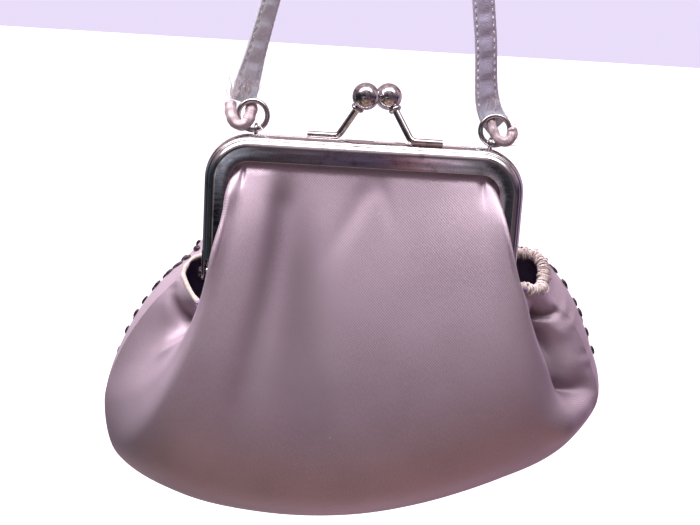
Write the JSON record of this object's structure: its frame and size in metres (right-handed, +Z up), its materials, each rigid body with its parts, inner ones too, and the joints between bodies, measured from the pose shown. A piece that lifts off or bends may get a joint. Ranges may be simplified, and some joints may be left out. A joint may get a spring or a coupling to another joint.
{
  "type": "purse",
  "caption": "Small satin evening purse with a plated kiss-lock frame, ball clasp, rings and a thin satin strap, hanging by the strap.",
  "frame": {"origin": "underside of the strap's top, where the purse hangs on a hook", "axes": "+Z up along the hang, +X along the frame, the plain front of the bag facing -Y"},
  "size_m": [0.1619, 0.0421, 0.3052],
  "materials": {
    "plated_metal": "polished plating with a grey tone",
    "satin": "mauve satin with a soft sheen",
    "dark_bead": "glossy dark bead"
  },
  "bodies": {
    "root": {"frame_front": "plated_metal", "frame_back": "plated_metal", "clasp_ball_left": "plated_metal", "clasp_ball_right": "plated_metal", "hinge_rivet_left": "plated_metal", "hinge_rivet_right": "plated_metal", "strap_ring_left": "plated_metal", "strap_ring_right": "plated_metal", "panel_front": "satin", "panel_back": "satin", "strap": "satin"}
  },
  "joints": []
}
